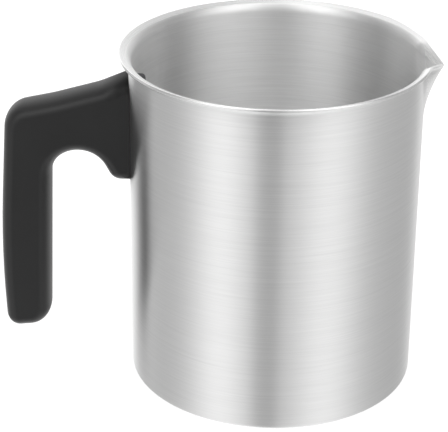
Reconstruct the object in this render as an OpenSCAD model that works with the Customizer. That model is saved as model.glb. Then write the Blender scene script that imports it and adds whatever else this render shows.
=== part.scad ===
// Candle melting pot: a drawn steel jug with a flared rim, a pressed pouring lip
// and a moulded hook handle that two screws hold from inside the wall.
// Frame: origin at the middle of the base, +Z up, handle on -X, pouring lip on +X.

/* [Pot] */
// Outside diameter of the wall
pot_d = 110; // [100:1:130]
// Height from the base to the top of the rim
pot_h = 130; // [125:1:150]
// Thickness of the steel sheet
sheet_t = 1; // [0.6:0.1:1]
// Outside radius of the corner between the wall and the base
base_corner_r = 1.5; // [1.2:0.1:4]

/* [Rim] */
// How far the rim stands out past the wall
rim_reach = 3.8; // [3:0.1:4]
// How much less the rim stands out beside the pouring lip
rim_pull_in = 0.8; // [0:0.1:1]
// Radius of the bend under the rim
rim_bend_r = 2.4; // [1.5:0.1:2.6]
// Angle that the rim is bent outward
rim_bend_angle = 72; // [60:1:78]

/* [Pouring lip] */
// How far the tip of the lip stands out past the wall
lip_reach = 6.8; // [5:0.1:9]
// How far the tip of the lip hangs below the top of the rim
lip_droop = 4.6; // [2:0.1:5]
// Height of the fold below the top of the rim
lip_depth = 27.5; // [22:0.5:32]
// Half of the angle, seen from above, that the lip takes out of the rim
lip_half_angle = 13.5; // [11:0.5:14]

/* [Handle] */
// Thickness of the handle from side to side
handle_w = 18; // [16:0.5:20]
// Depth of the rounding from the middle of an edge to the flat side
handle_round = 5; // [3.5:0.5:5]
// Distance from the wall to the outer face of the grip
handle_reach = 50.9; // [48:0.1:54]
// Distance from the top of the rim down to the arm
arm_drop = 9.9; // [8.5:0.1:12]
// Height of the foot of the arm against the wall
root_h = 42; // [40:0.1:45]
// Height of the whole handle
handle_h = 106.6; // [98:0.1:109]
// Mean slope of the arm's top, in degrees
arm_slope = 14.2; // [13:0.1:17]
// Depth of the grip from front to back
grip_d = 19.7; // [17.5:0.1:20.5]

/* [Fasteners] */
// Distance from the top of the rim down to the upper screw
upper_screw_drop = 16.2; // [15:0.1:18]
// Distance between the two screws
screw_pitch = 26; // [24:0.5:28]
// Diameter of the screw thread
screw_d = 4; // [3:0.5:4]
// Diameter of the screw head
head_d = 11; // [8:0.5:11]
// Height of the screw head
head_h = 3.6; // [3:0.1:4]
// Outside diameter of the washer
washer_d = 12; // [11.5:0.5:13]
// Thickness of the washer
washer_t = 1; // [0.8:0.1:1.2]
// Outside diameter of the threaded insert
insert_d = 5.4; // [5.2:0.1:5.6]
// Length of the threaded insert
insert_l = 6; // [5:0.5:6]

/* [Hidden] */
$fn = 180;

pot_r = pot_d / 2;
bore_r = pot_r - sheet_t;

// Base corner: the inside arc is a little larger than a concentric one
corner_steps = 6;
inner_corner_r = base_corner_r - sheet_t + 0.2;

// Rim section: a bend of two concentric arcs, then a short straight lip
bend_steps = 5;
bend_outer_r = rim_bend_r + sheet_t;
rim_straight = straight_for(rim_reach);
pull_in_start = 24;
pull_in_end = 43;
bend_z = pot_h - bend_outer_r * sin(rim_bend_angle) - rim_straight * cos(rim_bend_angle);

// Pouring lip: the sector of the wall that it is pressed into
patch_half_angle = 45;
patch_low_z = pot_h - lip_depth - 6;
fold_low_z = pot_h - lip_depth;
fold_bow = 1.9;
crease_angle = 15.5;
crease_rise = 0.45;
fold_columns = 5;
blend_columns = 9;
seam_step = 0.03;
wall_rows = [0, 0.24, 0.32, 0.41, 0.52, 0.64, 0.76, 0.88, 1];

// Handle: heights of its main lines, and how its section and its end on the wall are made
arm_top_z = pot_h - arm_drop;
root_low_z = arm_top_z - root_h;
grip_low_z = arm_top_z - handle_h;
arch_z = root_low_z + 11.5;
knee_u = 11.3;
knee_z = arm_top_z - 4.9;
knee_slope = 0.434;
arm_sag = 0.6;
root_start_u = -8;
saddle_gap = 0.05;
section_power = 2.3;
section_layers = 6;
arc_steps = 7;

// Screws, washers and inserts lie along X at the middle of the handle
upper_z = pot_h - upper_screw_drop;
lower_z = upper_z - screw_pitch;
seat_gap = 0.03;
seat_x = -sqrt(bore_r * bore_r - washer_d * washer_d / 4) + seat_gap;
insert_x = -pot_r - 0.4;
screw_end_x = insert_x - insert_l + 0.6;
thread_gap = 0.05;
hole_d = screw_d + 0.5;
washer_bore_d = screw_d + 0.3;
groove_depth = 0.25;
head_edge_r = 1.4;
slot_w = 1.2;
slot_l = 5.2;
slot_depth = 1.6;

// How far a cutting shape runs past what it cuts, and the smallest length that counts
cut_over = 2;
tiny = 0.01;

// ---------- helpers ----------

// Unit vector along v
function unit(v) = v / norm(v);

// Point at a radius, an angle and a height
function polar(r, a, z) = [r * cos(a), r * sin(a), z];

// Smooth step from 0 to 1 as x goes from a to b
function ease(a, b, x) =
    let (t = min(1, max(0, (x - a) / (b - a))))
    t * t * (3 - 2 * t);

// Triangles for a grid of rows, each with n points, open at its ends
function grid_faces(rows, n, start, flip) = [
    for (j = [0:rows - 2], i = [0:n - 2])
        let (a = start + j * n + i, b = a + 1, c = b + n, d = a + n)
        each flip ? [[a, c, b], [a, d, c]] : [[a, b, c], [a, c, d]]
];

// ---------- pot section ----------

// Straight part that a rim needs to stand out by the given reach
function straight_for(reach) =
    (reach - rim_bend_r * (1 - cos(rim_bend_angle))) / sin(rim_bend_angle);

// Point of the bend under or over the rim, on a face offset inward from the outer face
function bend_point(a, offset) =
    let (r = rim_bend_r + offset)
    [pot_r + rim_bend_r - r * cos(a), bend_z + r * sin(a)];

// Rim points on a face offset inward from the outer face, from the bend to the edge
function rim_points(offset, straight) = [
    for (k = [0:bend_steps]) bend_point(rim_bend_angle * k / bend_steps, offset),
    bend_point(rim_bend_angle, offset) + straight * [sin(rim_bend_angle), cos(rim_bend_angle)]
];

// Points of a rounded inside or outside base corner, from the base to the wall
function base_corner(wall_r, floor_z, r) = [
    for (k = [0:corner_steps])
        let (a = 90 * k / corner_steps)
        [wall_r - r + r * sin(a), floor_z + r - r * cos(a)]
];

function reversed(list) = [for (i = [len(list) - 1:-1:0]) list[i]];

// Half section of the pot, base, wall and rim
module pot_section() {
    polygon(concat(
        [[0, 0]],
        base_corner(pot_r, 0, base_corner_r),
        rim_points(0, rim_straight),
        reversed(rim_points(sheet_t, rim_straight)),
        reversed(base_corner(bore_r, sheet_t, inner_corner_r)),
        [[0, sheet_t]]
    ));
}

// ---------- pouring lip ----------

// Reach of the rim at an angle from the middle of the lip
function reach_at(a) = rim_reach - rim_pull_in * (1 - ease(pull_in_start, pull_in_end, a));

// Step inward of the pressed sector's lowest row, away from the sector's two ends
function seam_inset(t, a) = t == 0 && abs(a) < patch_half_angle ? seam_step : 0;

// Wall and rim profile on the face offset inward, at an angle beyond the lip
function side_profile(a, offset) = concat(
    [
        for (t = wall_rows)
            [pot_r - offset - seam_inset(t, a), patch_low_z + t * (bend_z - patch_low_z)]
    ],
    [for (k = [1:bend_steps + 1]) rim_points(offset, straight_for(reach_at(a)))[k]]
);

profile_rows = len(wall_rows) + bend_steps + 1;
side_top_z = side_profile(0, 0)[profile_rows - 1][1];

// Angle of the crease where the fold meets the wall or the bend
function crease_at(z) =
    z <= fold_low_z ? 0 :
    z <= bend_z ? crease_angle * pow((z - fold_low_z) / (bend_z - fold_low_z), crease_rise) :
    crease_angle + (lip_half_angle - crease_angle) * (z - bend_z) / (side_top_z - bend_z);

// Point of the crease on a row of the profile
function crease_point(j, offset) =
    let (
        outer = side_profile(0, 0)[j],
        p = side_profile(0, offset)[j]
    )
    polar(p[0], crease_at(outer[1]), p[1]);

// Point of the ridge of the fold on a row of the profile
function ridge_point(j) =
    let (
        plain = side_profile(0, 0)[j],
        z = plain[1],
        squeeze = (pot_h - lip_droop - fold_low_z) / (side_top_z - fold_low_z),
        rise = max(0, z - fold_low_z) * squeeze,
        out = pow(rise / (pot_h - lip_droop - fold_low_z), fold_bow)
    )
    [(z < fold_low_z ? plain[0] : pot_r) + lip_reach * out, 0, min(z, fold_low_z) + rise];

// Outer face of one half of the fold: straight lines from the ridge to the crease
function fold_point(v, j) = (1 - v) * ridge_point(j) + v * crease_point(j, 0);

// Outward normal of the fold
function fold_normal(v, j) =
    let (
        across = crease_point(j, 0) - ridge_point(j),
        low = fold_point(v, max(0, j - 1)),
        high = fold_point(v, min(profile_rows - 1, j + 1)),
        n = cross(across, high - low)
    )
    norm(across) < tiny ? [1, 0, 0] : unit(n);

// Inner face of the fold, one sheet thickness in
function fold_inner(v, j) =
    let (n = fold_normal(v, j))
    v == 0
        ? let (m = unit([n[0], 0, n[2]])) fold_point(0, j) - m * sheet_t / (n * m)
        : v == 1 ? crease_point(j, sheet_t)
        : fold_point(v, j) - n * sheet_t;

// One row of the pressed sector, from one side round the tip to the other.
// Each half runs from the ridge over the crease to the edge of the sector.
function half_row(j, offset) = concat(
    [
        for (i = [0:fold_columns])
            let (v = i / fold_columns)
            offset == 0 ? fold_point(v, j) : fold_inner(v, j)
    ],
    [
        for (i = [1:blend_columns])
            let (
                from = crease_at(side_profile(0, 0)[j][1]),
                a = from + (patch_half_angle - from) * i / blend_columns,
                p = side_profile(a, offset)[j]
            )
            polar(p[0], a, p[1])
    ]
);

function mirror_y(p) = [p[0], -p[1], p[2]];

function patch_row(j, offset) =
    let (half = half_row(j, offset), n = len(half))
    concat(
        [for (i = [n - 1:-1:1]) mirror_y(half[i])],
        half
    );

// Closed solid of the sector of wall and rim that carries the pouring lip
module lip_sector() {
    n = 2 * (fold_columns + blend_columns) + 1;
    rows = profile_rows;
    outer = [for (j = [0:rows - 1]) each patch_row(j, 0)];
    inner = [for (j = [0:rows - 1]) each patch_row(j, sheet_t)];
    half = rows * n;
    low_edge = [
        for (i = [0:n - 2])
            each [[i, half + i, half + i + 1], [i, half + i + 1, i + 1]]
    ];
    top_edge = [
        for (i = [0:n - 2])
            let (a = (rows - 1) * n + i, b = half + a)
            each [[a, b + 1, b], [a, a + 1, b + 1]]
    ];
    sides = [
        for (j = [0:rows - 2])
            let (a = j * n, b = a + n, c = half + a, d = half + b)
            let (e = a + n - 1, f = e + n, g = half + e, h = half + f)
            each [[a, b, d], [a, d, c], [e, h, f], [e, g, h]]
    ];
    polyhedron(
        points = concat(outer, inner),
        faces = concat(
            grid_faces(rows, n, 0, true),
            grid_faces(rows, n, half, false),
            low_edge, top_edge, sides
        )
    );
}

// Wedge of space that the pressed sector fills
module sector_space() {
    far = 2 * pot_r;
    translate([0, 0, patch_low_z])
        linear_extrude(pot_h)
            polygon([
                [0, 0],
                [far * cos(patch_half_angle), -far * sin(patch_half_angle)],
                [far * cos(patch_half_angle), far * sin(patch_half_angle)]
            ]);
}

// Cylinder along X from x0 to x1 at a height
module rod_x(x0, x1, z, d, fn = 48) {
    translate([min(x0, x1), 0, z])
        rotate([0, 90, 0])
            cylinder(h = abs(x1 - x0), d = d, $fn = fn);
}

module pot_body() {
    color("silver")
        difference() {
            union() {
                difference() {
                    rotate_extrude() pot_section();
                    sector_space();
                }
                lip_sector();
            }
            for (z = [upper_z, lower_z])
                rod_x(-pot_r - cut_over, -bore_r + cut_over, z, hole_d);
        }
}

// ---------- handle ----------

// Corners of the handle outline: distance from the wall, height, radius.
// Rounded outer corners stay larger than the rounding of the section.
outer_u = handle_reach - 4.1;
outer_z = knee_z - (outer_u - knee_u) * tan(arm_slope);
outline = [
    [root_start_u, knee_z + (knee_u - root_start_u) * knee_slope, 0],
    [knee_u, knee_z, 25],
    [(knee_u + outer_u) / 2, (knee_z + outer_z) / 2 - arm_sag, 80],
    [outer_u, outer_z, 10],
    [handle_reach, arch_z - 43.6, 430],
    [handle_reach - 1.5, grip_low_z, 5.5],
    [handle_reach - grip_d + 1.1, grip_low_z + 1.8, 8.3],
    [handle_reach - grip_d - 1.5, arch_z, 10.8],
    [12.7, arch_z + 0.1, 10.8],
    [6.4, root_low_z, 5.5],
    [root_start_u, root_low_z, 0]
];

function flat(c) = [c[0], c[1]];

// Corner i, counted round the outline, and the direction of the edge after it
function corner(i) = let (n = len(outline)) outline[(i + n) % n];
function edge_dir(i) = unit(flat(corner(i + 1)) - flat(corner(i)));

// Turn at corner i: positive where the outline is hollow
function turn(i) =
    let (a = edge_dir(i - 1), b = edge_dir(i))
    atan2(a[0] * b[1] - a[1] * b[0], a * b);

// Share of the edge after corner i that the roundings at its two ends take up
function rounding_run(i) = corner(i)[2] * tan(abs(turn(i)) / 2);
function edge_load(i) =
    (rounding_run(i) + rounding_run(i + 1)) / norm(flat(corner(i + 1)) - flat(corner(i)));

// Radius of corner i, made smaller where two roundings would run into each other
function corner_r(i) = corner(i)[2] / max(1, edge_load(i - 1), edge_load(i));

// Corner moved into the material by an inset, with its radius changed to suit
function inset_corner(i, inset) =
    let (
        a = edge_dir(i - 1),
        b = edge_dir(i),
        na = [a[1], -a[0]],
        nb = [b[1], -b[0]],
        miter = (na + nb) / (1 + na * nb),
        p = flat(corner(i)) + miter * inset,
        r = corner_r(i),
        new_r = r == 0 ? 0 : turn(i) < 0 ? r - inset : r + inset
    )
    [p[0], p[1], new_r];

// Arc that rounds corner i of the inset outline
function corner_arc(i, inset) =
    let (
        c = inset_corner(i, inset),
        a = edge_dir(i - 1),
        angle = turn(i),
        r = c[2],
        s = sign(angle),
        start = flat(c) - a * r * tan(abs(angle) / 2),
        centre = start + s * r * [-a[1], a[0]],
        from = atan2(start[1] - centre[1], start[0] - centre[0])
    )
    r == 0 ? [flat(c)] : [
        for (k = [0:arc_steps])
            centre + r * [cos(from + angle * k / arc_steps), sin(from + angle * k / arc_steps)]
    ];

// Point where the arm's top or the foot's underside, moved in by an inset, meets the wall
function root_point(corner_index, edge, inset, u) =
    let (p = flat(inset_corner(corner_index, inset)), d = edge_dir(edge))
    p + d * (u - p[0]) / d[0];

// Outline moved in by an inset, ending at a distance u from the wall
function inset_outline(inset, u) =
    let (last = len(outline) - 1)
    concat(
        [root_point(1, 0, inset, u)],
        [for (i = [1:last - 1]) each corner_arc(i, inset)],
        [root_point(last - 1, last - 1, inset, u)]
    );

// Distance from the wall's foremost line to the saddle, at y across the handle
function saddle_u(y) = sqrt(pow(pot_r + saddle_gap, 2) - y * y) - pot_r;

// Inset of the outline at a fraction s of the half thickness
function section_inset(s) =
    handle_round * (1 - pow(max(0, 1 - pow(abs(s), section_power)), 1 / section_power));

// Twice the area of a triangle, positive when it turns left
function turn_area(a, b, c) = (b[0] - a[0]) * (c[1] - a[1]) - (b[1] - a[1]) * (c[0] - a[0]);

// Whether point p lies inside a triangle that turns right
function covers(a, b, c, p) =
    turn_area(a, b, p) < 0 && turn_area(b, c, p) < 0 && turn_area(c, a, p) < 0;

// Whether corner i of a loop can be cut off as a triangle that holds no other corner
function is_ear(p, loop, i) =
    let (
        n = len(loop),
        a = p[loop[(i + n - 1) % n]],
        b = p[loop[i]],
        c = p[loop[(i + 1) % n]]
    )
    turn_area(a, b, c) < 0 && len([for (k = loop) if (covers(a, b, c, p[k])) k]) == 0;

function first_ear(p, loop, i) =
    i == len(loop) - 1 || is_ear(p, loop, i) ? i : first_ear(p, loop, i + 1);

// Triangles that fill a flat loop of points, cut off one corner at a time
function fill_loop(p, loop) =
    let (n = len(loop), i = first_ear(p, loop, 0))
    n == 3 ? [loop] : concat(
        [[loop[(i + n - 1) % n], loop[i], loop[(i + 1) % n]]],
        fill_loop(p, [for (k = [0:n - 1]) if (k != i) loop[k]])
    );

// Rounded handle moulding with a saddle for the wall, before the inserts are taken out
module handle_blank() {
    layers = [for (k = [-section_layers:section_layers]) sin(90 * k / section_layers)];
    flat_side = inset_outline(section_inset(1), saddle_u(handle_w / 2));
    n = len(flat_side);
    count = len(layers);
    points = [
        for (s = layers)
            let (y = s * handle_w / 2)
            each [
                for (p = inset_outline(section_inset(s), saddle_u(y)))
                    [-pot_r - p[0], y, p[1]]
            ]
    ];
    skin = [
        for (k = [0:count - 2], i = [0:n - 1])
            let (a = k * n + i, b = k * n + (i + 1) % n, c = b + n, d = a + n)
            each [[a, c, b], [a, d, c]]
    ];
    near_side = fill_loop(flat_side, [for (i = [0:n - 1]) i]);
    far_side = [for (t = near_side) (count - 1) * n * [1, 1, 1] + [t[2], t[1], t[0]]];
    polyhedron(points = points, faces = concat(skin, near_side, far_side));
}

module handle() {
    color([0.13, 0.13, 0.13])
        difference() {
            handle_blank();
            for (z = [upper_z, lower_z])
                rod_x(insert_x - insert_l, -pot_r + 1, z, insert_d);
        }
}

// ---------- fasteners ----------

// Cross slot sunk into the top of a head
module cross_slot(x, z) {
    for (turn_angle = [0, 90])
        translate([x - slot_depth, 0, z])
            rotate([turn_angle, 0, 0])
                translate([0, -slot_w / 2, -slot_l / 2])
                    cube([slot_depth + 1, slot_w, slot_l]);
}

// Pan head screw: its head lies on the washer inside the pot
module screw(z) {
    head_x = seat_x + washer_t;
    dome = [
        for (k = [0:corner_steps])
            let (a = 90 * k / corner_steps)
            [head_d / 2, head_h] - head_edge_r * [1 - cos(a), 1 - sin(a)]
    ];
    color("silver")
        difference() {
            union() {
                translate([head_x, 0, z])
                    rotate([0, 90, 0])
                        rotate_extrude($fn = 48)
                            polygon(concat([[0, 0], [head_d / 2, 0]], dome, [[0, head_h]]));
                rod_x(screw_end_x, head_x + 1, z, screw_d);
            }
            cross_slot(head_x + head_h, z);
        }
}

module washer(z) {
    color("gainsboro")
        difference() {
            rod_x(seat_x, seat_x + washer_t, z, washer_d);
            rod_x(seat_x - cut_over, seat_x + washer_t + cut_over, z, washer_bore_d);
        }
}

// Brass insert with a grip groove round its middle
module insert(z) {
    groove_w = insert_l / 3;
    groove_x = insert_x - insert_l / 2 - groove_w / 2;
    color("goldenrod")
        difference() {
            rod_x(insert_x - insert_l, insert_x, z, insert_d);
            rod_x(insert_x - insert_l - cut_over, insert_x + cut_over, z, screw_d + thread_gap);
            difference() {
                rod_x(groove_x, groove_x + groove_w, z, insert_d + cut_over);
                rod_x(
                    groove_x - cut_over, groove_x + groove_w + cut_over,
                    z, insert_d - 2 * groove_depth
                );
            }
        }
}

pot_body();
handle();
screw(upper_z);  // upper_screw
screw(lower_z);  // lower_screw
washer(upper_z);  // upper_washer
washer(lower_z);  // lower_washer
insert(upper_z);  // upper_insert
insert(lower_z);  // lower_insert
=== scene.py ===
"""Candle melting pot: looks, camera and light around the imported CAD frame.

All lengths are in metres. +Z is up, the handle is on -X and the pouring lip on +X.
"""
import math

import bmesh
import bpy
import numpy as np
from mathutils import Matrix, Vector


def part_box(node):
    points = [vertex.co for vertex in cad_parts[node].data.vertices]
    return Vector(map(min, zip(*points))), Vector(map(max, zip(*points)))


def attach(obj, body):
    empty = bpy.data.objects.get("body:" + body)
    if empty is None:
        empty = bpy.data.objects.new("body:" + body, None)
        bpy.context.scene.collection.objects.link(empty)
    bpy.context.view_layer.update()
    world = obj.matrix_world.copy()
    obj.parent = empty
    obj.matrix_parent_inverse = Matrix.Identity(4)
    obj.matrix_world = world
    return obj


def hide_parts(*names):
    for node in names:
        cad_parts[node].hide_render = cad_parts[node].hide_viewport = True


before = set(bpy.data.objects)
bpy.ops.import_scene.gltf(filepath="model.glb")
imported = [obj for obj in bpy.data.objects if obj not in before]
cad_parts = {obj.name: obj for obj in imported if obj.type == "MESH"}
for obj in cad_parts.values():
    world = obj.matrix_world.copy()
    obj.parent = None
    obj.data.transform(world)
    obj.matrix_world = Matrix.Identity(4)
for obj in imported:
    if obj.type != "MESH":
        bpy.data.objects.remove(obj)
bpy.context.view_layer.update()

MM = 0.001

# ---------------------------------------------------------------- sizes from the frame
_, pot_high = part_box("pot_body")
_, handle_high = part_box("handle")

SHEET = 1.0 * MM
BASE_CORNER_R = 1.5 * MM
RIM_REACH = 3.8 * MM
BEND_R = 2.4 * MM
BEND_ANGLE = math.radians(72)

POT_H = pot_high[2]
WALL_R = pot_high[1] - RIM_REACH

# Pressed lip: angles are in degrees round the pot from the tip
LIP_REACH = pot_high[0] - WALL_R
LIP_DROOP = 4.6 * MM
LIP_DEPTH = 27.5 * MM
LIP_HALF_ANGLE = 13.5
# The crease beside the fold starts narrow, widens as a power of its height, and ends wide
CREASE_LOW_ANGLE = 5.0
CREASE_ANGLE = 15.5
CREASE_RISE = 0.45
# The ridge bows outward as a power of its height, and its edge is rounded
FOLD_BOW = 1.9
FOLD_ROUND = 1.0 * MM
# The rim is pulled in beside the lip, and regains its full reach between two angles
RIM_PULL_IN = 0.8 * MM
PULL_INNER_ANGLE = 24
PULL_OUTER_ANGLE = 43
SECTOR_HALF_ANGLE = 45.0


# ---------------------------------------------------------------- mesh helpers
SLIVER = 0.001 * MM
ROD_SIDES = 48


def smooth_step(a, b, x):
    """Rises smoothly from 0 at a to 1 at b."""
    t = min(1.0, max(0.0, (x - a) / (b - a)))
    return t * t * (3 - 2 * t)


def mesh_object(name, points, faces):
    """A mesh object from points and faces, with its normals turned outward."""
    mesh = bpy.data.meshes.new(name)
    mesh.from_pydata([tuple(p) for p in points], [], faces)
    work = bmesh.new()
    work.from_mesh(mesh)
    bmesh.ops.recalc_face_normals(work, faces=work.faces)
    work.to_mesh(mesh)
    work.free()
    mesh.polygons.foreach_set("use_smooth", [True] * len(mesh.polygons))
    obj = bpy.data.objects.new(name, mesh)
    bpy.context.collection.objects.link(obj)
    return obj


def band_faces(row_a, row_b):
    """Quads between two closed rows of vertex numbers."""
    count = len(row_a)
    return [
        (row_a[i], row_a[(i + 1) % count], row_b[(i + 1) % count], row_b[i])
        for i in range(count)
    ]


def fan_faces(centre, row):
    """Triangles from one vertex to a closed row."""
    count = len(row)
    return [(centre, row[i], row[(i + 1) % count]) for i in range(count)]


def apply_modifiers(obj):
    """Turns the object's modifiers into its mesh."""
    depsgraph = bpy.context.evaluated_depsgraph_get()
    mesh = bpy.data.meshes.new_from_object(obj.evaluated_get(depsgraph))
    obj.modifiers.clear()
    obj.data = mesh


def remove_slivers(mesh):
    """Splits faces of many corners and dissolves what has no area."""
    work = bmesh.new()
    work.from_mesh(mesh)
    many = [face for face in work.faces if len(face.verts) > 4]
    bmesh.ops.triangulate(work, faces=many)
    bmesh.ops.dissolve_degenerate(work, dist=SLIVER, edges=work.edges)
    work.to_mesh(mesh)
    work.free()


def cut_with(obj, tool):
    """Takes a closed tool out of an object and removes the tool."""
    cut = obj.modifiers.new("cut", "BOOLEAN")
    cut.operation = "DIFFERENCE"
    cut.solver = "EXACT"
    cut.object = tool
    apply_modifiers(obj)
    bpy.data.objects.remove(tool)
    remove_slivers(obj.data)


def rod_x(name, x0, x1, z, radius):
    """A closed cylinder along X."""
    points, rows = [], []
    for x in (x0, x1):
        rows.append(list(range(len(points), len(points) + ROD_SIDES)))
        for i in range(ROD_SIDES):
            a = 2 * math.pi * i / ROD_SIDES
            points.append((x, radius * math.cos(a), z + radius * math.sin(a)))
    faces = band_faces(rows[0], rows[1]) + [tuple(rows[0]), tuple(rows[1])]
    return mesh_object(name, points, faces)


# ---------------------------------------------------------------- pot
def rim_straight(reach):
    """Length of the rim's straight part past the bend."""
    return (reach - BEND_R * (1 - math.cos(BEND_ANGLE))) / math.sin(BEND_ANGLE)


BEND_Z = (
    POT_H
    - (BEND_R + SHEET) * math.sin(BEND_ANGLE)
    - rim_straight(RIM_REACH) * math.cos(BEND_ANGLE)
)
FOLD_LOW_Z = POT_H - LIP_DEPTH
TIP_Z = POT_H - LIP_DROOP

# Rows of the outer face from the base up; those on the plain wall are fractions of it
CORNER_STEPS = 6
WALL_ROWS = (0.03, 0.1, 0.25, 0.4, 0.55, 0.68, 0.76)
FOLD_STEPS = 26
BEND_STEPS = 14
STRAIGHT_STEPS = 3
# Columns on half the fold, from there to the sector's end, and round the rest
FOLD_COLUMNS = 14
BLEND_COLUMNS = 20
ROUND_COLUMNS = 180
# Rings of the flat base, as shares of its radius
BASE_RINGS = (0.25, 0.5, 0.75, 0.92)
# Rounding of the cut edge: share of the thickness, and how far it stands out
EDGE_ROUND = 0.16 * MM
EDGE_ROWS = (
    (0.04, 0.07 * MM), (0.14, 0.13 * MM), (0.5, EDGE_ROUND),
    (0.86, 0.13 * MM), (0.96, 0.07 * MM),
)


def reach_at(angle):
    """How far the rim stands out at an angle from the lip, in degrees."""
    away = smooth_step(PULL_INNER_ANGLE, PULL_OUTER_ANGLE, abs(angle))
    return RIM_REACH - RIM_PULL_IN * (1 - away)


def outer_rows():
    """Rows of the outer face from the base corner to the rim, as (kind, fraction)."""
    rows = [("corner", k / CORNER_STEPS) for k in range(CORNER_STEPS + 1)]
    rows += [("wall", t) for t in WALL_ROWS]
    fold_share = (FOLD_LOW_Z - BASE_CORNER_R) / (BEND_Z - BASE_CORNER_R)
    rows += [
        ("wall", fold_share + (1 - fold_share) * k / FOLD_STEPS)
        for k in range(FOLD_STEPS + 1)
    ]
    rows += [("bend", k / BEND_STEPS) for k in range(1, BEND_STEPS + 1)]
    rows += [("straight", k / STRAIGHT_STEPS) for k in range(1, STRAIGHT_STEPS + 1)]
    return rows


def profile_point(kind, t, reach):
    """Radius and height of the outer face on a row."""
    if kind == "corner":
        a = t * math.pi / 2
        return (
            WALL_R - BASE_CORNER_R + BASE_CORNER_R * math.sin(a),
            BASE_CORNER_R * (1 - math.cos(a)),
        )
    if kind == "wall":
        return WALL_R, BASE_CORNER_R + t * (BEND_Z - BASE_CORNER_R)
    a = BEND_ANGLE * (t if kind == "bend" else 1)
    run = rim_straight(reach) * t if kind == "straight" else 0
    return (
        WALL_R + BEND_R * (1 - math.cos(a)) + run * math.sin(a),
        BEND_Z + BEND_R * math.sin(a) + run * math.cos(a),
    )


SIDE_TOP_Z = profile_point("straight", 1, reach_at(0))[1]


def polar(r, angle, z):
    a = math.radians(angle)
    return np.array([r * math.cos(a), r * math.sin(a), z])


def crease_angle(z):
    """Angle of the crease beside the pressed fold, at a height on the plain profile."""
    if z <= FOLD_LOW_Z:
        return CREASE_LOW_ANGLE
    if z <= BEND_Z:
        rise = ((z - FOLD_LOW_Z) / (BEND_Z - FOLD_LOW_Z)) ** CREASE_RISE
        return max(CREASE_LOW_ANGLE, CREASE_ANGLE * rise)
    share = (z - BEND_Z) / (SIDE_TOP_Z - BEND_Z)
    return CREASE_ANGLE + (LIP_HALF_ANGLE - CREASE_ANGLE) * share


def ridge_point(r, z):
    """Ridge of the fold for a row whose plain profile is at (r, z)."""
    if z <= FOLD_LOW_Z:
        return np.array([r, 0, z])
    share = (z - FOLD_LOW_Z) / (SIDE_TOP_Z - FOLD_LOW_Z)
    return np.array([
        WALL_R + LIP_REACH * share ** FOLD_BOW,
        0,
        FOLD_LOW_Z + share * (TIP_Z - FOLD_LOW_Z),
    ])


def fold_point(v, kind, t):
    """Outer face between the ridge (v = 0) and the crease (v = 1)."""
    r, z = profile_point(kind, t, reach_at(0))
    limit = crease_angle(z)
    if z <= FOLD_LOW_Z:
        return polar(r, v * limit, z)
    ridge = ridge_point(r, z)
    crease = polar(r, limit, z)
    half = crease[1]
    y = v * half
    slope = (ridge[0] - crease[0]) / (math.hypot(half, FOLD_ROUND) - FOLD_ROUND)
    x = ridge[0] - slope * (math.hypot(y, FOLD_ROUND) - FOLD_ROUND)
    point = np.array([x, y, ridge[2] + v * (crease[2] - ridge[2])])
    plain = math.hypot(point[0], point[1])
    if kind == "wall" and plain < WALL_R:
        point[:2] *= WALL_R / plain
    return point


def outer_row(kind, t):
    """One closed row of the outer face, counted from the tip of the lip round +Y."""
    half = [fold_point(i / FOLD_COLUMNS, kind, t) for i in range(FOLD_COLUMNS + 1)]
    start = crease_angle(profile_point(kind, t, reach_at(0))[1])
    for i in range(1, BLEND_COLUMNS + 1):
        angle = start + (SECTOR_HALF_ANGLE - start) * i / BLEND_COLUMNS
        r, z = profile_point(kind, t, reach_at(angle))
        half.append(polar(r, angle, z))
    step = (360 - 2 * SECTOR_HALF_ANGLE) / ROUND_COLUMNS
    r, z = profile_point(kind, t, RIM_REACH)
    rest = [
        polar(r, SECTOR_HALF_ANGLE + i * step, z) for i in range(1, ROUND_COLUMNS)
    ]
    other = [p * np.array([1, -1, 1]) for p in half[:0:-1]]
    return np.array(half + rest + other)


def grid_normals(grid):
    """Outward normals of a grid of rows that close round the pot."""
    across = np.roll(grid, -1, axis=1) - np.roll(grid, 1, axis=1)
    along = np.empty_like(grid)
    along[1:-1] = grid[2:] - grid[:-2]
    along[0] = grid[1] - grid[0]
    along[-1] = grid[-1] - grid[-2]
    normals = np.cross(across, along)
    return normals / np.linalg.norm(normals, axis=2, keepdims=True)


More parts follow.
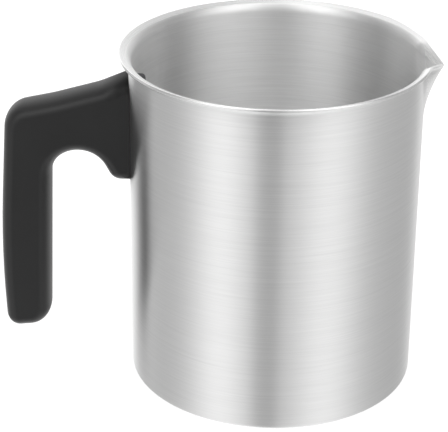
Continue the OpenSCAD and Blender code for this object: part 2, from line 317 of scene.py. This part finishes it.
def make_pot():
    """The one closed sheet: outer face, cut edge and inner face, with both base discs."""
    grid = np.array([outer_row(kind, t) for kind, t in outer_rows()])
    normals = grid_normals(grid)
    normals[0] = (0, 0, -1)
    inner = grid - normals * SHEET
    inner[0] = grid[0] + np.array([0, 0, SHEET])
    tangent = grid[-1] - grid[-2]
    tangent /= np.linalg.norm(tangent, axis=1, keepdims=True)
    edge = [
        grid[-1] * (1 - share) + inner[-1] * share + tangent * push
        for share, push in EDGE_ROWS
    ]
    edge = [row - tangent * EDGE_ROUND for row in edge]
    grid[-1] -= tangent * EDGE_ROUND
    inner[-1] -= tangent * EDGE_ROUND

    def base_rings(row, z):
        return [
            np.column_stack([row[:, 0] * s, row[:, 1] * s, np.full(len(row), z)])
            for s in BASE_RINGS
        ]

    rows = base_rings(grid[0], 0) + list(grid) + edge + list(inner[::-1])
    rows += base_rings(inner[0], SHEET)[::-1]
    columns = grid.shape[1]
    points = np.concatenate(rows)
    numbers = [list(range(j * columns, (j + 1) * columns)) for j in range(len(rows))]
    faces = []
    for row_a, row_b in zip(numbers, numbers[1:]):
        faces += band_faces(row_a, row_b)
    points = np.concatenate([points, [[0, 0, 0], [0, 0, SHEET]]])
    faces += fan_faces(len(points) - 2, numbers[0])
    faces += fan_faces(len(points) - 1, numbers[-1])
    obj = mesh_object("melting_pot", points, faces)
    outside = columns * (len(BASE_RINGS) + len(grid) + len(edge) - 2)
    count = len(faces)
    # The last two fans are the base's underside and its upper side
    inside = [outside <= i < count - 2 * columns or i >= count - columns for i in range(count)]
    # Inner faces take the second material, the lighter copy of the steel that paints light
    # into the interior.
    obj.data.polygons.foreach_set("material_index", [int(v) for v in inside])
    return obj


# ---------------------------------------------------------------- handle
HANDLE_HALF_W = handle_high[1]
HANDLE_ROUND = 5 * MM
# The section is rounded as a superellipse; its last turns, in degrees, lie close together
SECTION_POWER = 2.3
SECTION_STEPS = 17
SECTION_END = (87.2, 88.7, 89.6, 90)
ARC_STEP = math.radians(6)
ARC_STEPS_MIN = 6
SADDLE_GAP = 0.05 * MM

# Side view: distances U run outward from the wall, and the handle stands on -X
REACH = 50.9 * MM
GRIP_D = 19.7 * MM
GRIP_INNER_U = REACH - GRIP_D
ARM_TOP_Z = POT_H - 9.9 * MM
GRIP_LOW_Z = ARM_TOP_Z - 106.6 * MM
ROOT_LOW_Z = ARM_TOP_Z - 42 * MM
ROOT_LOW_U = 6.4 * MM
ROOT_START_U = -8 * MM
ROOT_CORNER_R = 5.5 * MM
ARCH_Z = ROOT_LOW_Z + 11.5 * MM
ARCH_INNER_U = 12.7 * MM
ARCH_R = 10.8 * MM
KNEE_U = 11.3 * MM
KNEE_Z = ARM_TOP_Z - 4.9 * MM
KNEE_R = 25 * MM
KNEE_SLOPE = 0.434
ARM_SLOPE = math.tan(math.radians(14.2))
ARM_SAG = 0.6 * MM
ARM_SAG_R = 80 * MM
OUTER_U = REACH - 4.1 * MM
OUTER_Z = KNEE_Z - (OUTER_U - KNEE_U) * ARM_SLOPE
OUTER_R = 10 * MM
BACK_Z = ARCH_Z - 43.6 * MM
BACK_R = 430 * MM
HEEL_U = REACH - 1.5 * MM
HEEL_R = 5.5 * MM
TOE_U = GRIP_INNER_U + 1.1 * MM
TOE_Z = GRIP_LOW_Z + 1.8 * MM
TOE_R = 8.3 * MM
# Corners of the outline: distance from the wall, height, radius
OUTLINE = [
    (ROOT_START_U, KNEE_Z + (KNEE_U - ROOT_START_U) * KNEE_SLOPE, 0),
    (KNEE_U, KNEE_Z, KNEE_R),
    ((KNEE_U + OUTER_U) / 2, (KNEE_Z + OUTER_Z) / 2 - ARM_SAG, ARM_SAG_R),
    (OUTER_U, OUTER_Z, OUTER_R),
    (REACH, BACK_Z, BACK_R),
    (HEEL_U, GRIP_LOW_Z, HEEL_R),
    (TOE_U, TOE_Z, TOE_R),
    (GRIP_INNER_U - 1.5 * MM, ARCH_Z, ARCH_R),
    (ARCH_INNER_U, ARCH_Z + 0.1 * MM, ARCH_R),
    (ROOT_LOW_U, ROOT_LOW_Z, ROOT_CORNER_R),
    (ROOT_START_U, ROOT_LOW_Z, 0),
]


def inset_outline(inset, root_u):
    """The handle outline moved into the material, from the wall round to the wall."""
    corners = [np.array(c[:2]) for c in OUTLINE]
    radii = [c[2] for c in OUTLINE]
    ways = [b - a for a, b in zip(corners, corners[1:])]
    ways = [w / np.linalg.norm(w) for w in ways]
    inward = [np.array([w[1], -w[0]]) for w in ways]
    last = len(corners) - 1

    def moved(i):
        a, b = inward[i - 1], inward[i]
        return corners[i] + (a + b) / (1 + a @ b) * inset

    def at_wall(i, way):
        p = moved(i)
        return p + way * (root_u - p[0]) / way[0]

    points = [at_wall(1, ways[0])]
    for i in range(1, last):
        a, b = ways[i - 1], ways[i]
        turn = math.atan2(a[0] * b[1] - a[1] * b[0], a @ b)
        side = 1 if turn > 0 else -1
        r = radii[i] + side * inset
        start = moved(i) - a * r * math.tan(abs(turn) / 2)
        centre = start + side * r * np.array([-a[1], a[0]])
        begin = math.atan2(start[1] - centre[1], start[0] - centre[0])
        steps = max(ARC_STEPS_MIN, int(abs(turn) / ARC_STEP))
        points += [
            centre + r * np.array([math.cos(begin + turn * k / steps),
                                   math.sin(begin + turn * k / steps)])
            for k in range(steps + 1)
        ]
    points.append(at_wall(last - 1, ways[last - 1]))
    return points


def section_points():
    """Across the handle from middle to side: share of the half width, and inset."""
    turns = [math.pi / 2 * k / SECTION_STEPS for k in range(SECTION_STEPS)]
    turns += [math.radians(a) for a in SECTION_END]
    return [
        (math.sin(a) ** (2 / SECTION_POWER),
         HANDLE_ROUND * (1 - max(0.0, math.cos(a)) ** (2 / SECTION_POWER)))
        for a in turns
    ]


def make_handle():
    """The hook handle, with flat sides and a saddle that meets the wall."""
    half = section_points()
    section = [(-s, inset) for s, inset in half[:0:-1]] + half
    points, rows = [], []
    for s, inset in section:
        y = s * HANDLE_HALF_W
        root_u = math.sqrt(WALL_R ** 2 - y * y) - WALL_R + SADDLE_GAP
        row = inset_outline(inset, root_u)
        rows.append(list(range(len(points), len(points) + len(row))))
        points += [(-WALL_R - u, y, z) for u, z in row]
    faces, smooth = [], []
    for row_a, row_b in zip(rows, rows[1:]):
        faces += band_faces(row_a, row_b)
        smooth += [True] * (len(row_a) - 1) + [False]
    faces += [tuple(rows[0]), tuple(rows[-1])]
    obj = mesh_object("hook_handle", points, faces)
    obj.data.polygons.foreach_set("use_smooth", smooth + [False, False])
    return obj


# ---------------------------------------------------------------- materials
class Nodes:
    """Short way to write a tree of nodes."""

    def __init__(self, tree):
        self.tree = tree

    def add(self, kind, **values):
        node = self.tree.nodes.new(kind)
        for key, value in values.items():
            setattr(node, key, value)
        return node

    def link(self, source, target):
        self.tree.links.new(source, target)

    def math(self, operation, a, b=None):
        node = self.add("ShaderNodeMath", operation=operation)
        for socket, value in zip(node.inputs, (a, b)):
            if value is None:
                continue
            if isinstance(value, (int, float)):
                socket.default_value = value
            else:
                self.link(value, socket)
        return node.outputs[0]

    def distance(self, x, y):
        """Length of the level direction (x, y)."""
        squares = self.math("ADD", self.math("MULTIPLY", x, x), self.math("MULTIPLY", y, y))
        return self.math("SQRT", squares)

    def ease(self, value, low, high, top=1.0):
        """Rises smoothly from 0 to the top between two values."""
        node = self.add("ShaderNodeMapRange", interpolation_type="SMOOTHSTEP")
        node.inputs["From Min"].default_value = low
        node.inputs["From Max"].default_value = high
        node.inputs["To Max"].default_value = top
        self.link(value, node.inputs["Value"])
        return node.outputs["Result"]


class Surface(Nodes):
    """A new material's nodes, round its main shader."""

    def __init__(self, name):
        self.material = bpy.data.materials.new(name)
        self.material.use_nodes = True
        super().__init__(self.material.node_tree)
        self.shader = self.tree.nodes["Principled BSDF"]

    def noise(self, vector, scale, detail):
        node = self.add("ShaderNodeTexNoise")
        node.inputs["Scale"].default_value = scale
        node.inputs["Detail"].default_value = detail
        self.link(vector, node.inputs["Vector"])
        return node.outputs["Fac"]

    def spread(self, value, low, high):
        """A 0 to 1 value stretched to run from low to high."""
        node = self.add("ShaderNodeMapRange")
        node.inputs["To Min"].default_value = low
        node.inputs["To Max"].default_value = high
        self.link(value, node.inputs["Value"])
        return node.outputs["Result"]

    def tint(self, factor, dark, light):
        node = self.add("ShaderNodeMix", data_type="RGBA")
        node.inputs["A"].default_value = (*dark, 1)
        node.inputs["B"].default_value = (*light, 1)
        self.link(factor, node.inputs["Factor"])
        return node.outputs["Result"]

    def bump(self, height, strength, distance):
        node = self.add("ShaderNodeBump")
        node.inputs["Strength"].default_value = strength
        node.inputs["Distance"].default_value = distance
        self.link(height, node.inputs["Height"])
        self.link(node.outputs["Normal"], self.shader.inputs["Normal"])

    def place(self):
        """Position on the object, in metres."""
        return self.add("ShaderNodeTexCoord").outputs["Object"]


# Streaks of the brushing: length and width in metres, and noise detail
FINE_STREAKS = (0.022, 0.00030, 3.0)
BROAD_STREAKS = (0.045, 0.0010, 2.0)
FINE_SHARE = 0.7
# Their tints as shares of the tone, how far they move the roughness, and their contrast
STREAK_DARK = (0.93, 0.93, 0.927)
STREAK_LIGHT = (1.07, 1.07, 1.067)
STREAK_ROUGHNESS = 0.05
STREAK_CONTRAST = (-0.4, 1.4)
# The bent rim is smoother than the walls, from just outside the wall's radius
RIM_START_R = WALL_R + 0.1 * MM
RIM_FULL_R = WALL_R + 1.2 * MM
RIM_ROUGHNESS = 0.26


def brushed_steel(name, tone, roughness):
    """Steel brushed round its axis: streaks that run round, finer than they are long."""
    n = Surface(name)
    axes = n.add("ShaderNodeSeparateXYZ")
    n.link(n.place(), axes.inputs[0])
    x, y, z = axes.outputs
    radius = n.distance(x, y)
    along = n.math("ADD", z, radius)

    def streaks(length, width, detail):
        joined = n.add("ShaderNodeCombineXYZ")
        n.link(n.math("MULTIPLY", x, 1 / length), joined.inputs[0])
        n.link(n.math("MULTIPLY", y, 1 / length), joined.inputs[1])
        n.link(n.math("MULTIPLY", along, 1 / width), joined.inputs[2])
        return n.noise(joined.outputs[0], 1.0, detail)

    fine = n.math("MULTIPLY", streaks(*FINE_STREAKS), FINE_SHARE)
    broad = n.math("MULTIPLY", streaks(*BROAD_STREAKS), 1 - FINE_SHARE)
    mixed = n.math("ADD", fine, broad)
    dark = [tone * share for share in STREAK_DARK]
    light = [tone * share for share in STREAK_LIGHT]
    colour = n.tint(n.spread(mixed, *STREAK_CONTRAST), dark, light)
    n.link(colour, n.shader.inputs["Base Color"])
    rim = n.ease(radius, RIM_START_R, RIM_FULL_R, RIM_ROUGHNESS - roughness)
    rough = n.spread(mixed, roughness - STREAK_ROUGHNESS, roughness + STREAK_ROUGHNESS)
    n.link(n.math("ADD", rough, rim), n.shader.inputs["Roughness"])
    n.shader.inputs["Metallic"].default_value = 1.0
    n.shader.inputs["Anisotropic"].default_value = 0.95
    n.shader.inputs["Anisotropic Rotation"].default_value = 0.25
    tangent = n.add("ShaderNodeTangent", direction_type="RADIAL", axis="Z")
    n.link(tangent.outputs[0], n.shader.inputs["Tangent"])
    n.bump(mixed, strength=0.12, distance=0.03 * MM)
    return n.material


def black_plastic(name):
    """Satin black heat-resistant moulding with a fine eroded mould texture."""
    n = Surface(name)
    place = n.place()
    grain = n.noise(place, scale=2600, detail=2.0)
    cloud = n.noise(place, scale=60, detail=3.0)
    dark = [0.004, 0.004, 0.0041]
    light = [0.007, 0.007, 0.0072]
    n.link(n.tint(cloud, dark, light), n.shader.inputs["Base Color"])
    mixed = n.math("ADD", n.math("MULTIPLY", grain, 0.4), n.math("MULTIPLY", cloud, 0.6))
    n.link(n.spread(mixed, 0.36, 0.54), n.shader.inputs["Roughness"])
    n.shader.inputs["Specular IOR Level"].default_value = 0.46
    n.shader.inputs["Sheen Weight"].default_value = 0.08
    n.shader.inputs["Sheen Roughness"].default_value = 0.45
    n.bump(grain, strength=0.35, distance=0.08 * MM)
    return n.material


def plain_metal(name, colour, roughness):
    """Turned or plated metal with a faint grain in its tone and its gloss."""
    n = Surface(name)
    grain = n.noise(n.place(), scale=1800, detail=3.0)
    dark = [c * 0.88 for c in colour]
    light = [min(1, c * 1.08) for c in colour]
    n.link(n.tint(grain, dark, light), n.shader.inputs["Base Color"])
    n.link(n.spread(grain, roughness - 0.06, roughness + 0.08), n.shader.inputs["Roughness"])
    n.shader.inputs["Metallic"].default_value = 1.0
    n.bump(grain, strength=0.15, distance=0.02 * MM)
    return n.material


def set_material(obj, material):
    obj.data.materials.clear()
    obj.data.materials.append(material)


# ---------------------------------------------------------------- assembly
SCREW_LEVELS = [POT_H - 16.2 * MM, POT_H - 42.2 * MM]
SCREW_HOLE_R = 2.25 * MM
INSERT_R = 2.7 * MM
INSERT_END_X = -WALL_R - 6.4 * MM
# How far the cutting tools reach from the wall's outer face: both ways, and inward
HOLE_REACH = 3 * MM
BORE_REACH = 5 * MM

pot = make_pot()
pot.data.materials.append(brushed_steel("pot_steel", tone=0.82, roughness=0.37))
# The inside gets a lighter copy of the same steel (tone 0.94 against 0.82 outside): painted
# light that brightens the interior.
pot.data.materials.append(brushed_steel("pot_steel_inside_painted_light", tone=0.94, roughness=0.46))
for z in SCREW_LEVELS:
    cut_with(pot, rod_x("hole", -WALL_R - HOLE_REACH, -WALL_R + HOLE_REACH, z, SCREW_HOLE_R))
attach(pot, "root")
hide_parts("pot_body")

handle = make_handle()
for z in SCREW_LEVELS:
    cut_with(handle, rod_x("bore", INSERT_END_X, -WALL_R + BORE_REACH, z, INSERT_R))
set_material(handle, black_plastic("handle_black"))
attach(handle, "root")
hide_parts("handle")

# The screw heads get a very dark tone (0.10) that stands in for the dark reflection on the
# head: painted shade.
screw_painted_dark_metal = plain_metal("screw_metal_painted_dark", colour=[0.10, 0.10, 0.105], roughness=0.38)
washer_steel = plain_metal("washer_metal", colour=[0.62, 0.62, 0.62], roughness=0.28)
brass = plain_metal("insert_metal", colour=[0.71, 0.53, 0.25], roughness=0.34)
for level in ("upper", "lower"):
    set_material(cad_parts[f"{level}_screw"], screw_painted_dark_metal)
    set_material(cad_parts[f"{level}_washer"], washer_steel)
    set_material(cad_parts[f"{level}_insert"], brass)

# ---------------------------------------------------------------- stage
CAMERA_DISTANCE = 11.10 * WALL_R
CAMERA_HEIGHT = 6.47 * WALL_R
CAMERA_YAW = math.radians(-1.79)
CAMERA_PITCH = math.radians(25.73)
CAMERA_ROLL = math.radians(0.55)
LENS = 141.027
SENSOR = 36.0


def make_camera():
    """A long lens that looks down on the pot from the front, turned and rolled a little."""
    data = bpy.data.cameras.new("camera")
    data.sensor_width = SENSOR
    data.lens = LENS
    data.clip_start = 0.01
    data.clip_end = 20
    camera = bpy.data.objects.new("camera", data)
    forward = Vector((
        math.sin(CAMERA_YAW) * math.cos(CAMERA_PITCH),
        math.cos(CAMERA_YAW) * math.cos(CAMERA_PITCH),
        -math.sin(CAMERA_PITCH),
    ))
    right = Vector((math.cos(CAMERA_YAW), -math.sin(CAMERA_YAW), 0))
    up = right.cross(forward)
    c, s = math.cos(CAMERA_ROLL), math.sin(CAMERA_ROLL)
    right, up = right * c + up * s, up * c - right * s
    turned = Matrix((right, up, -forward)).transposed().to_4x4()
    camera.matrix_world = Matrix.Translation((0, -CAMERA_DISTANCE, CAMERA_HEIGHT)) @ turned
    bpy.context.collection.objects.link(camera)
    bpy.context.scene.camera = camera


# Light from round the pot. Each soft lobe has an azimuth in degrees, a sharpness,
# its level near the horizon and its level overhead.
LOBES = [
    (-134, 12, 0.49, 2.4),
    (-43, 9, 0.40, 2.2),
    (-88, 3, 0.00, 0.5),
    (-160, 2, 0.16, 0.1),
    (-15, 2, 0.18, 0.1),
]
# Panels with edges: azimuth, half width and softness in degrees, and the two levels
PANELS = [
    (-94, 6, 7, -0.27, 0.0),
    (89, 36, 8, 0.50, 0.40),
    (112, 18, 7, 0.45, 0.38),
    (156, 8, 7, 0.17, 0.25),
    (3, 13, 7, 0.0, -0.33),
    (182, 10, 7, 0.0, -0.33),
]
# Even light from all round, near the horizon and overhead
FILL = (0.60, 0.33)
# Heights, as sines, between which the levels near the horizon turn into those overhead
LOBE_RISE = (0.05, 0.75)
# Soft light all round overhead, and from the pale table below: start, full and level
OVERHEAD = (0.30, 0.90, 0.2)
TABLE = (0.55, 0.95, 0.75)


def make_world():
    """The studio as seen in the steel: soft lobes and panels of light round the pot."""
    world = bpy.data.worlds.new("studio")
    bpy.context.scene.world = world
    world.use_nodes = True
    world.node_tree.nodes.clear()
    n = Nodes(world.node_tree)
    axes = n.add("ShaderNodeSeparateXYZ")
    n.link(n.add("ShaderNodeTexCoord").outputs["Generated"], axes.inputs[0])
    x, y, z = axes.outputs
    level_length = n.math("MAXIMUM", n.distance(x, y), 0.001)

    def facing(azimuth):
        """Cosine of the turn from a direction to an azimuth."""
        a = math.radians(azimuth)
        across = n.math("ADD", n.math("MULTIPLY", x, math.cos(a)),
                        n.math("MULTIPLY", y, math.sin(a)))
        return n.math("DIVIDE", across, level_length)

    height = n.ease(z, *LOBE_RISE)

    def level(horizon, overhead):
        """Goes from the level near the horizon to the level overhead."""
        return n.math("ADD", n.math("MULTIPLY", height, overhead - horizon), horizon)

    total = level(*FILL)
    for azimuth, sharpness, horizon, overhead in LOBES:
        lobe = n.math("POWER", n.math("MAXIMUM", facing(azimuth), 0.0), sharpness)
        total = n.math("ADD", total, n.math("MULTIPLY", lobe, level(horizon, overhead)))
    for azimuth, half, soft, horizon, overhead in PANELS:
        edge = math.cos(math.radians(half + soft))
        panel = n.ease(facing(azimuth), edge, math.cos(math.radians(half)))
        total = n.math("ADD", total, n.math("MULTIPLY", panel, level(horizon, overhead)))
    for way, (start, full, gain) in ((1, OVERHEAD), (-1, TABLE)):
        glow = n.ease(n.math("MULTIPLY", z, way), start, full)
        total = n.math("ADD", total, n.math("MULTIPLY", glow, gain))
    background = n.add("ShaderNodeBackground")
    n.link(total, background.inputs["Strength"])
    out = n.add("ShaderNodeOutputWorld")
    n.link(background.outputs[0], out.inputs[0])


FLOOR_HALF = 3.0
BACKDROP_R = 2.9
BACKDROP_H = 3.0
BACKDROP_SIDES = 64


def make_floor():
    """A pale floor that lights itself a little and isn't seen in the steel."""
    corners = [(-1, -1), (1, -1), (1, 1), (-1, 1)]
    points = [(FLOOR_HALF * x, FLOOR_HALF * y, 0) for x, y in corners]
    floor = mesh_object("floor", points, [(0, 1, 2, 3)])
    n = Surface("floor_white")
    n.shader.inputs["Base Color"].default_value = (0.6, 0.6, 0.6, 1)
    n.shader.inputs["Roughness"].default_value = 1.0
    n.shader.inputs["Specular IOR Level"].default_value = 0.0
    n.shader.inputs["Emission Color"].default_value = (1, 1, 1, 1)
    n.shader.inputs["Emission Strength"].default_value = 0.62
    set_material(floor, n.material)
    floor.visible_glossy = False


def make_backdrop():
    """A white wall round the stage that only the camera sees."""
    sides = BACKDROP_SIDES
    turns = [2 * math.pi * i / sides for i in range(sides)]
    points = [
        (BACKDROP_R * math.cos(a), BACKDROP_R * math.sin(a), z)
        for z in (0, BACKDROP_H)
        for a in turns
    ]
    rows = [list(range(sides)), list(range(sides, 2 * sides))]
    backdrop = mesh_object("backdrop", points, band_faces(rows[0], rows[1]))
    n = Surface("backdrop_white")
    n.shader.inputs["Base Color"].default_value = (0, 0, 0, 1)
    n.shader.inputs["Specular IOR Level"].default_value = 0.0
    n.shader.inputs["Emission Color"].default_value = (1, 1, 1, 1)
    n.shader.inputs["Emission Strength"].default_value = 1.0
    set_material(backdrop, n.material)
    backdrop.visible_glossy = False
    backdrop.visible_diffuse = False
    backdrop.visible_transmission = False
    backdrop.visible_shadow = False


make_camera()
make_world()
make_floor()
make_backdrop()
bpy.context.scene.view_settings.view_transform = "Standard"
